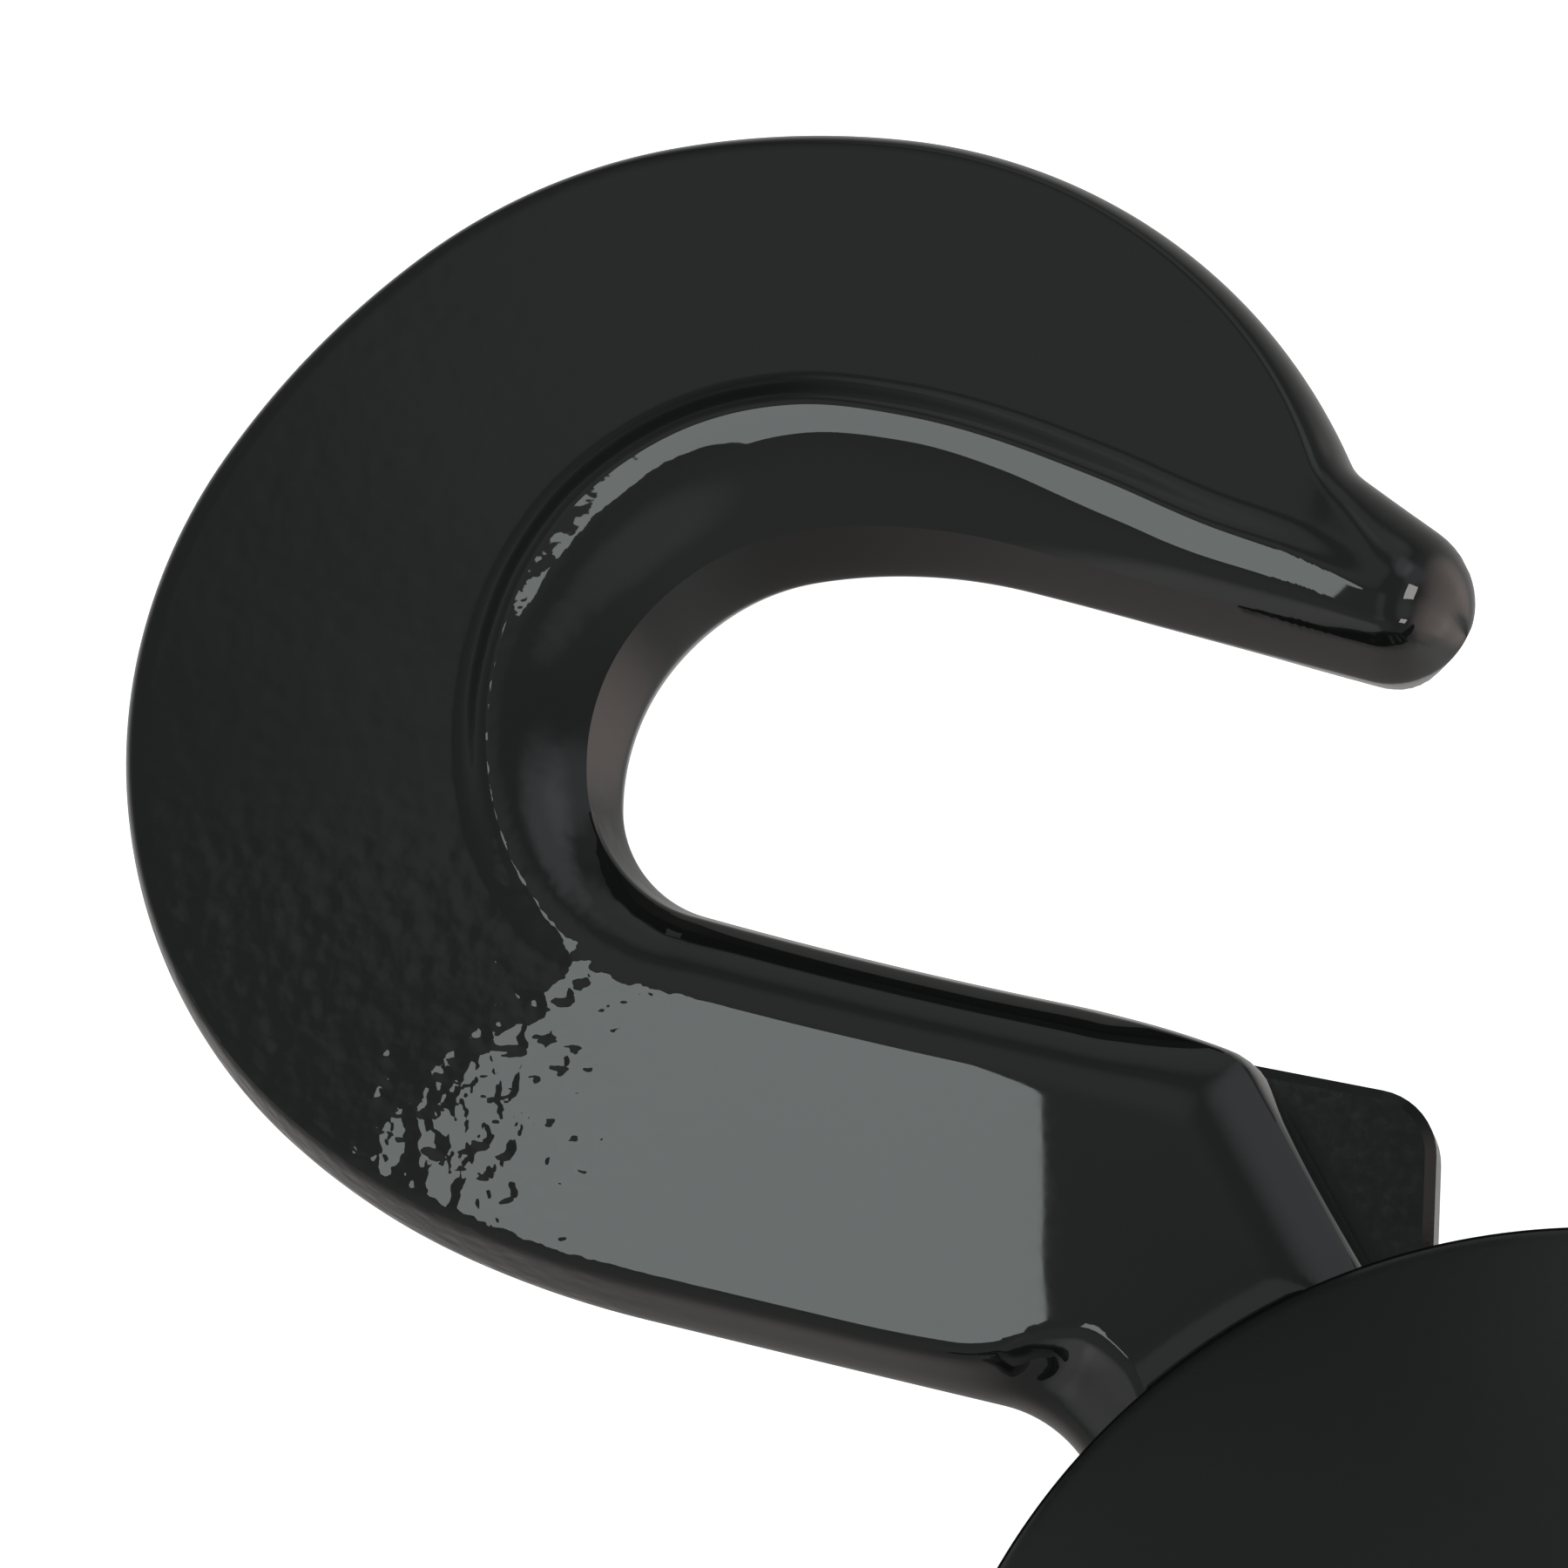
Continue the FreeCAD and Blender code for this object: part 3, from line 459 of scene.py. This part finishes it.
# ------------------------------------------------------------------ materials
def new_material(name):
    mat = bpy.data.materials.new(name)
    mat.use_nodes = True
    nt = mat.node_tree
    return mat, nt, nt.nodes["Principled BSDF"]


def make(nt, kind, settings=None, **inputs):
    n = nt.nodes.new(kind)
    for k, v in (settings or {}).items():
        setattr(n, k, v)
    for k, v in inputs.items():
        n.inputs[k.replace("_", " ")].default_value = v
    return n


def math_node(nt, op, a, b=None, clamp=False):
    n = nt.nodes.new("ShaderNodeMath")
    n.operation = op
    n.use_clamp = clamp
    for i, v in enumerate((a, b)):
        if v is None:
            continue
        if isinstance(v, (int, float)):
            n.inputs[i].default_value = v
        else:
            nt.links.new(v, n.inputs[i])
    return n.outputs[0]


def remap(nt, value, lo, hi, out_lo, out_hi, kind="LINEAR"):
    n = nt.nodes.new("ShaderNodeMapRange")
    n.interpolation_type = kind
    nt.links.new(value, n.inputs["Value"])
    for k, v in (("From Min", lo), ("From Max", hi), ("To Min", out_lo), ("To Max", out_hi)):
        n.inputs[k].default_value = v
    return n.outputs["Result"]


def mixed(nt, fac, a, b):
    n = nt.nodes.new("ShaderNodeMix")
    n.data_type = "RGBA"
    nt.links.new(fac, n.inputs["Factor"])
    n.inputs["A"].default_value = (*a, 1)
    n.inputs["B"].default_value = (*b, 1)
    return n.outputs["Result"]


def gloss_black():
    """Stove enamel on a forging: smooth on the flat shank, dimpled towards the bend."""
    mat, nt, bsdf = new_material("gloss_black_enamel")
    bsdf.inputs["IOR"].default_value = 1.5
    where = make(nt, "ShaderNodeAttribute", {"attribute_name": "forging_mm"})
    depth = make(nt, "ShaderNodeAttribute", {"attribute_name": "dimple"})
    tone = make(nt, "ShaderNodeTexNoise", Scale=0.12, Detail=3.0, Roughness=0.6)
    nt.links.new(where.outputs["Vector"], tone.inputs["Vector"])
    nt.links.new(mixed(nt, tone.outputs["Fac"], (0.0074, 0.0079, 0.0077), (0.0102, 0.0107, 0.0105)), bsdf.inputs["Base Color"])
    fine = make(nt, "ShaderNodeTexNoise", Scale=1.6, Detail=2.0, Roughness=0.55)
    nt.links.new(where.outputs["Vector"], fine.inputs["Vector"])
    nt.links.new(remap(nt, fine.outputs["Fac"], 0.3, 0.7, 0.012, 0.020), bsdf.inputs["Roughness"])
    # dimples under a millimetre across, and a slow unevenness
    cell = make(nt, "ShaderNodeTexNoise", Scale=0.95, Detail=1.5, Roughness=0.45)
    nt.links.new(where.outputs["Vector"], cell.inputs["Vector"])
    pits = make(nt, "ShaderNodeTexVoronoi", {"feature": "SMOOTH_F1"}, Scale=0.75, Smoothness=0.5, Randomness=1.0)
    nt.links.new(where.outputs["Vector"], pits.inputs["Vector"])
    pit = remap(nt, pits.outputs["Distance"], 0.05, 0.55, 0.0, 1.0, "SMOOTHSTEP")
    rough = math_node(nt, "MULTIPLY", math_node(nt, "ADD", cell.outputs["Fac"], math_node(nt, "MULTIPLY", pit, 0.45)), depth.outputs["Fac"])
    slow = make(nt, "ShaderNodeTexNoise", Scale=0.16, Detail=1.0)
    nt.links.new(where.outputs["Vector"], slow.inputs["Vector"])
    skin = math_node(nt, "MULTIPLY", cell.outputs["Fac"], 0.0004)
    total = math_node(nt, "ADD", math_node(nt, "ADD", rough, skin), math_node(nt, "MULTIPLY", slow.outputs["Fac"], 0.07))
    bump = make(nt, "ShaderNodeBump", Strength=1.0, Distance=0.000050)
    nt.links.new(total, bump.inputs["Height"])
    nt.links.new(bump.outputs["Normal"], bsdf.inputs["Normal"])
    return mat


def coordinates(nt, scale=1000.0):
    """Object coordinates in millimetres."""
    tc = nt.nodes.new("ShaderNodeTexCoord")
    n = nt.nodes.new("ShaderNodeVectorMath")
    n.operation = "SCALE"
    nt.links.new(tc.outputs["Object"], n.inputs[0])
    n.inputs["Scale"].default_value = scale
    return n.outputs[0]


def black_paint(name, low, high, rough, grain, distance):
    mat, nt, bsdf = new_material(name)
    bsdf.inputs["IOR"].default_value = 1.48
    mm = coordinates(nt)
    tone = make(nt, "ShaderNodeTexNoise", Scale=0.09, Detail=4.0, Roughness=0.6)
    nt.links.new(mm, tone.inputs["Vector"])
    nt.links.new(mixed(nt, tone.outputs["Fac"], low, high), bsdf.inputs["Base Color"])
    n = make(nt, "ShaderNodeTexNoise", Scale=grain, Detail=3.0, Roughness=0.6)
    nt.links.new(mm, n.inputs["Vector"])
    nt.links.new(remap(nt, n.outputs["Fac"], 0.3, 0.7, rough - 0.04, rough + 0.05), bsdf.inputs["Roughness"])
    bump = make(nt, "ShaderNodeBump", Strength=1.0, Distance=distance)
    nt.links.new(n.outputs["Fac"], bump.inputs["Height"])
    nt.links.new(bump.outputs["Normal"], bsdf.inputs["Normal"])
    return mat


def metal(name, low, high, rough, grain, distance, turned=0.0):
    mat, nt, bsdf = new_material(name)
    bsdf.inputs["Metallic"].default_value = 1.0
    mm = coordinates(nt)
    tone = make(nt, "ShaderNodeTexNoise", Scale=0.35, Detail=4.0, Roughness=0.6)
    nt.links.new(mm, tone.inputs["Vector"])
    nt.links.new(mixed(nt, tone.outputs["Fac"], low, high), bsdf.inputs["Base Color"])
    n = make(nt, "ShaderNodeTexNoise", Scale=grain, Detail=3.0, Roughness=0.6)
    nt.links.new(mm, n.inputs["Vector"])
    nt.links.new(remap(nt, n.outputs["Fac"], 0.3, 0.7, rough - 0.06, rough + 0.08), bsdf.inputs["Roughness"])
    h = n.outputs["Fac"]
    if turned:
        sep = nt.nodes.new("ShaderNodeSeparateXYZ")
        nt.links.new(mm, sep.inputs[0])
        r = math_node(nt, "SQRT", math_node(nt, "ADD", math_node(nt, "MULTIPLY", sep.outputs[0], sep.outputs[0]),
                                            math_node(nt, "MULTIPLY", sep.outputs[1], sep.outputs[1])))
        run = math_node(nt, "ADD", r, sep.outputs[2])
        rings = math_node(nt, "SINE", math_node(nt, "MULTIPLY", run, 2 * math.pi / turned))
        h = math_node(nt, "ADD", math_node(nt, "MULTIPLY", rings, 0.5), math_node(nt, "MULTIPLY", h, 0.6))
    bump = make(nt, "ShaderNodeBump", Strength=1.0, Distance=distance)
    nt.links.new(h, bump.inputs["Height"])
    nt.links.new(bump.outputs["Normal"], bsdf.inputs["Normal"])
    return mat


M_HOOK = gloss_black()
M_DOME = black_paint("satin_black_cover", (0.0104, 0.0114, 0.0116), (0.0136, 0.0146, 0.0148), 0.36, 2.2, 0.000010)
M_PLATE = black_paint("black_plate_paint", (0.0022, 0.0025, 0.0024), (0.0036, 0.0039, 0.0037), 0.10, 1.6, 0.000002)
M_ZINC = metal("zinc_plated_steel", (0.50, 0.50, 0.49), (0.66, 0.66, 0.67), 0.34, 2.5, 0.000010)
M_TURNED = metal("turned_steel", (0.52, 0.51, 0.50), (0.62, 0.61, 0.60), 0.24, 3.0, 0.000006, turned=0.28)
M_SPRING = metal("phosphated_spring_steel", (0.035, 0.035, 0.038), (0.07, 0.068, 0.066), 0.42, 2.8, 0.000010)
M_BRONZE = metal("sintered_bronze", (0.42, 0.25, 0.10), (0.56, 0.36, 0.16), 0.38, 5.0, 0.000012)
NODE_FINISH = {
    "back_plate": M_PLATE, "front_plate": M_ZINC, "hub_core": M_ZINC, "hub_dome": M_DOME, "cover_ring": M_ZINC,
    "rear_bush": M_BRONZE, "front_bush": M_BRONZE, "pivot_pin_1": M_ZINC, "pivot_pin_2": M_ZINC, "pivot_pin_3": M_ZINC,
    "rear_thrust_washers": M_BRONZE, "front_thrust_washers": M_BRONZE, "spacer_posts": M_ZINC, "stop_pins": M_ZINC,
    "front_screws": M_ZINC, "back_screws": M_ZINC, "spindle": M_TURNED, "flange_washer": M_BRONZE,
    "keeper_washer": M_ZINC, "circlip": M_SPRING, "arm_bush_1": M_BRONZE, "arm_bush_2": M_BRONZE, "arm_bush_3": M_BRONZE,
}
for name, mat in NODE_FINISH.items():
    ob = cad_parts[name]
    ob.data.materials.clear()
    ob.data.materials.append(mat)

# ------------------------------------------------------------------ turned cover
def arc_between(p, q, r, n=24):
    """Points from p to q on the arc of radius r whose centre is on the right of p to q."""
    p, q = np.array(p, float), np.array(q, float)
    d = q - p
    c = (p + q) / 2 + np.array([d[1], -d[0]]) / np.hypot(*d) * math.sqrt(r * r - (d @ d) / 4)
    a0, a1 = math.atan2(*(p - c)[::-1]), math.atan2(*(q - c)[::-1])
    return [tuple(c + r * np.array([math.cos(a), math.sin(a)])) for a in np.linspace(a0, a1, n)], c


def rounded(p, q, r, corner, n=8):
    """Quarter-ish round from p to q past a corner, as a quadratic curve."""
    t = np.linspace(0, 1, n)[:, None]
    p, q, m = np.array(p, float), np.array(q, float), np.array(corner, float)
    return [tuple(v) for v in (1 - t) ** 2 * p + 2 * t * (1 - t) * m + t ** 2 * q]


# crown from the flat out to the rim, as seen in section (radius, height)
crown, centre = arc_between((14.2, 27.4), (27.6, 20.3), 52.0, 40)
rim_z = centre[1] + math.sqrt(52.0 ** 2 - (29.6 - centre[0]) ** 2)
near_r = 28.9
near_z = centre[1] + math.sqrt(52.0 ** 2 - (near_r - centre[0]) ** 2)
print("cover rim height", round(rim_z, 2))
profile = ([(11.1, 25.9), (11.1, 27.15), (11.35, 27.4), (13.6, 27.4)] + crown
           + rounded((near_r, near_z), (29.6, rim_z - 0.62), 0.7, (29.6, rim_z))
           + [(29.6, 18.55), (29.35, 18.3), (28.1, 18.3), (27.1, 18.9)]
           + [(r, z - 1.55) for r, z in reversed(crown[:-3])])
cover = link(bpy.data.objects.new("hub_cover_shell", ring_mesh("hub_cover_shell", profile, 288)))
cover.data.materials.append(M_DOME)
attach(cover, "hub")
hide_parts("hub_dome")

# ------------------------------------------------------------------ the three hooks
master = hook_master()
co = np.empty(len(master.vertices) * 3)
master.vertices.foreach_get("co", co)
co = co.reshape(-1, 3)
local = co / MM
dimple = smooth_step(-local[:, 0], 36.0, 49.0)
dimple *= 1 - 0.80 * smooth_step(local[:, 1], 44.0, 53.0)
for k, turn in enumerate((0.0, -120.0, 120.0)):
    me = master.copy()
    me.name = "hook_forging_%d" % (k + 1)
    c, s_ = math.cos(math.radians(turn)), math.sin(math.radians(turn))
    R = np.array([[c, -s_, 0], [s_, c, 0], [0, 0, 1]])
    me.vertices.foreach_set("co", (co @ R.T).ravel())
    at = me.attributes.new("forging_mm", "FLOAT_VECTOR", "POINT")
    at.data.foreach_set("vector", (local + 40.0 * k).ravel())
    at = me.attributes.new("dimple", "FLOAT", "POINT")
    at.data.foreach_set("value", dimple)
    me.materials.clear()
    me.materials.append(M_HOOK)
    me.update()
    ob = link(bpy.data.objects.new("hook_forging_%d" % (k + 1), me))
    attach(ob, "hook_%d" % (k + 1))
    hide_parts("hook_arm_%d" % (k + 1))

# ------------------------------------------------------------------ stage, lights, camera
floor_mat = bpy.data.materials.new("floor_white")
floor_mat.use_nodes = True
fb = floor_mat.node_tree.nodes["Principled BSDF"]
fb.inputs["Base Color"].default_value = (0.9, 0.9, 0.9, 1)
fb.inputs["Roughness"].default_value = 0.9
fb.inputs["Emission Color"].default_value = (1, 1, 1, 1)
fb.inputs["Emission Strength"].default_value = 1.0
fm = bpy.data.meshes.new("floor")
fm.from_pydata([(-2, -2, -0.0002), (2, -2, -0.0002), (2, 2, -0.0002), (-2, 2, -0.0002)], [], [(0, 1, 2, 3)])
fm.materials.append(floor_mat)
floor = link(bpy.data.objects.new("floor", fm))
floor.visible_glossy = False
floor.visible_shadow = False

# the room: dim overhead, lighter to the sides, warm and low towards the throat side
world = bpy.data.worlds.new("studio")
bpy.context.scene.world = world
world.use_nodes = True
wt = world.node_tree
bg = wt.nodes["Background"]
tc = wt.nodes.new("ShaderNodeTexCoord")


def toward(v, lo, hi, amount):
    """A soft patch of light around a direction, as a function of the cosine to it."""
    v = Vector(v).normalized()
    n = wt.nodes.new("ShaderNodeVectorMath")
    n.operation = "DOT_PRODUCT"
    wt.links.new(tc.outputs["Generated"], n.inputs[0])
    n.inputs[1].default_value = v
    return remap(wt, n.outputs["Value"], lo, hi, 0.0, amount, "SMOOTHSTEP")


def total(values):
    out = values[0]
    for v in values[1:]:
        out = math_node(wt, "ADD", out, v)
    return out


def combine(r, g, b):
    n = wt.nodes.new("ShaderNodeCombineColor")
    for i, v in enumerate((r, g, b)):
        wt.links.new(v, n.inputs[i])
    return n.outputs[0]


LOBES = (
    # direction, cosines between which it fades in, colour
    ((-0.12, 0.38, 0.92), 0.950, 0.995, (0.20, 0.205, 0.20)),
    ((0.58, 0.46, 0.67), 0.890, 0.997, (0.52, 0.53, 0.56)),
    ((0.87, 0.18, 0.46), 0.900, 0.990, (0.30, 0.31, 0.33)),
    ((0.15, -0.15, 0.97), 0.975, 0.996, (0.20, 0.205, 0.20)),
    ((-0.15, -0.60, 0.75), 0.600, 0.950, (0.13, 0.13, 0.13)),
    ((-0.40, -0.83, 0.38), 0.880, 0.985, (0.46, 0.46, 0.45)),
    ((-0.80, -0.48, 0.38), 0.880, 0.985, (0.44, 0.44, 0.43)),
    ((0.25, 0.93, 0.30), 0.880, 0.985, (0.30, 0.31, 0.31)),
    ((0.95, 0.02, -0.42), 0.760, 0.985, (0.66, 0.53, 0.49)),
    ((0.05, 0.95, -0.15), 0.500, 0.900, (-0.11, -0.11, -0.11)),
    ((-0.30, -0.60, -0.75), 0.700, 0.960, (-0.12, -0.13, -0.13)),
    ((0, 0, -1), 0.0, 0.5, (0.08, 0.068, 0.064)),
)
channels = []
for c in range(3):
    base = (0.256, 0.264, 0.264)[c]
    parts = [toward(d, lo_, hi_, col[c]) for d, lo_, hi_, col in LOBES]
    channels.append(math_node(wt, "MAXIMUM", math_node(wt, "ADD", total(parts), base), 0.03))
wt.links.new(combine(*channels), bg.inputs["Color"])
bg.inputs["Strength"].default_value = 1.0


def area(name, loc, target, size, size_y, radiance, color=(1, 1, 1), up="Y"):
    light = bpy.data.lights.new(name, "AREA")
    light.shape = "RECTANGLE"
    light.size, light.size_y = size, size_y
    light.energy = radiance * math.pi * size * size_y
    light.color = color
    ob = link(bpy.data.objects.new(name, light))
    ob.location = loc
    ob.rotation_mode = "QUATERNION"
    ob.rotation_quaternion = (Vector(target) - Vector(loc)).to_track_quat("-Z", up)
    return ob


# window overhead, its right edge lies across the shank
H = 1.5
WX, WY = (-0.490, -0.0262 - 0.1215 * H), (0.066, 0.330)
window = area("window", (0, 0, H), (0, 0, 0), WX[1] - WX[0], WY[1] - WY[0], 3.4, (0.92, 1.0, 0.985))
window.rotation_quaternion = (1, 0, 0, 0)
window.location = ((WX[0] + WX[1]) / 2, (WY[0] + WY[1]) / 2, H + 0.0176)
area("low_lamp", (-0.006 + 0.88 * 0.8, 0.057 - 0.24 * 0.8, 0.0152 + 0.40 * 0.8), (-0.006, 0.057, 0.0152), 0.16, 0.23, 6.0, (1.0, 0.97, 0.95))

cam_data = bpy.data.cameras.new("camera")
cam_data.lens = 126.0
cam_data.sensor_width = 36.0
cam_data.clip_start = 0.01
cam = link(bpy.data.objects.new("camera", cam_data))
C = Vector((6.154, 4.199, 255.6)) * MM
target = Vector((-35.846, 51.399, 11.6)) * MM
zc = (C - target).normalized()
xc = Vector((0, 1, 0)).cross(zc).normalized()
yc = zc.cross(xc)
cam.matrix_world = Matrix((
    (xc.x, yc.x, zc.x, C.x), (xc.y, yc.y, zc.y, C.y), (xc.z, yc.z, zc.z, C.z), (0, 0, 0, 1)))
bpy.context.scene.camera = cam
bpy.context.scene.view_settings.view_transform = "Standard"
bpy.context.scene.view_settings.look = "None"
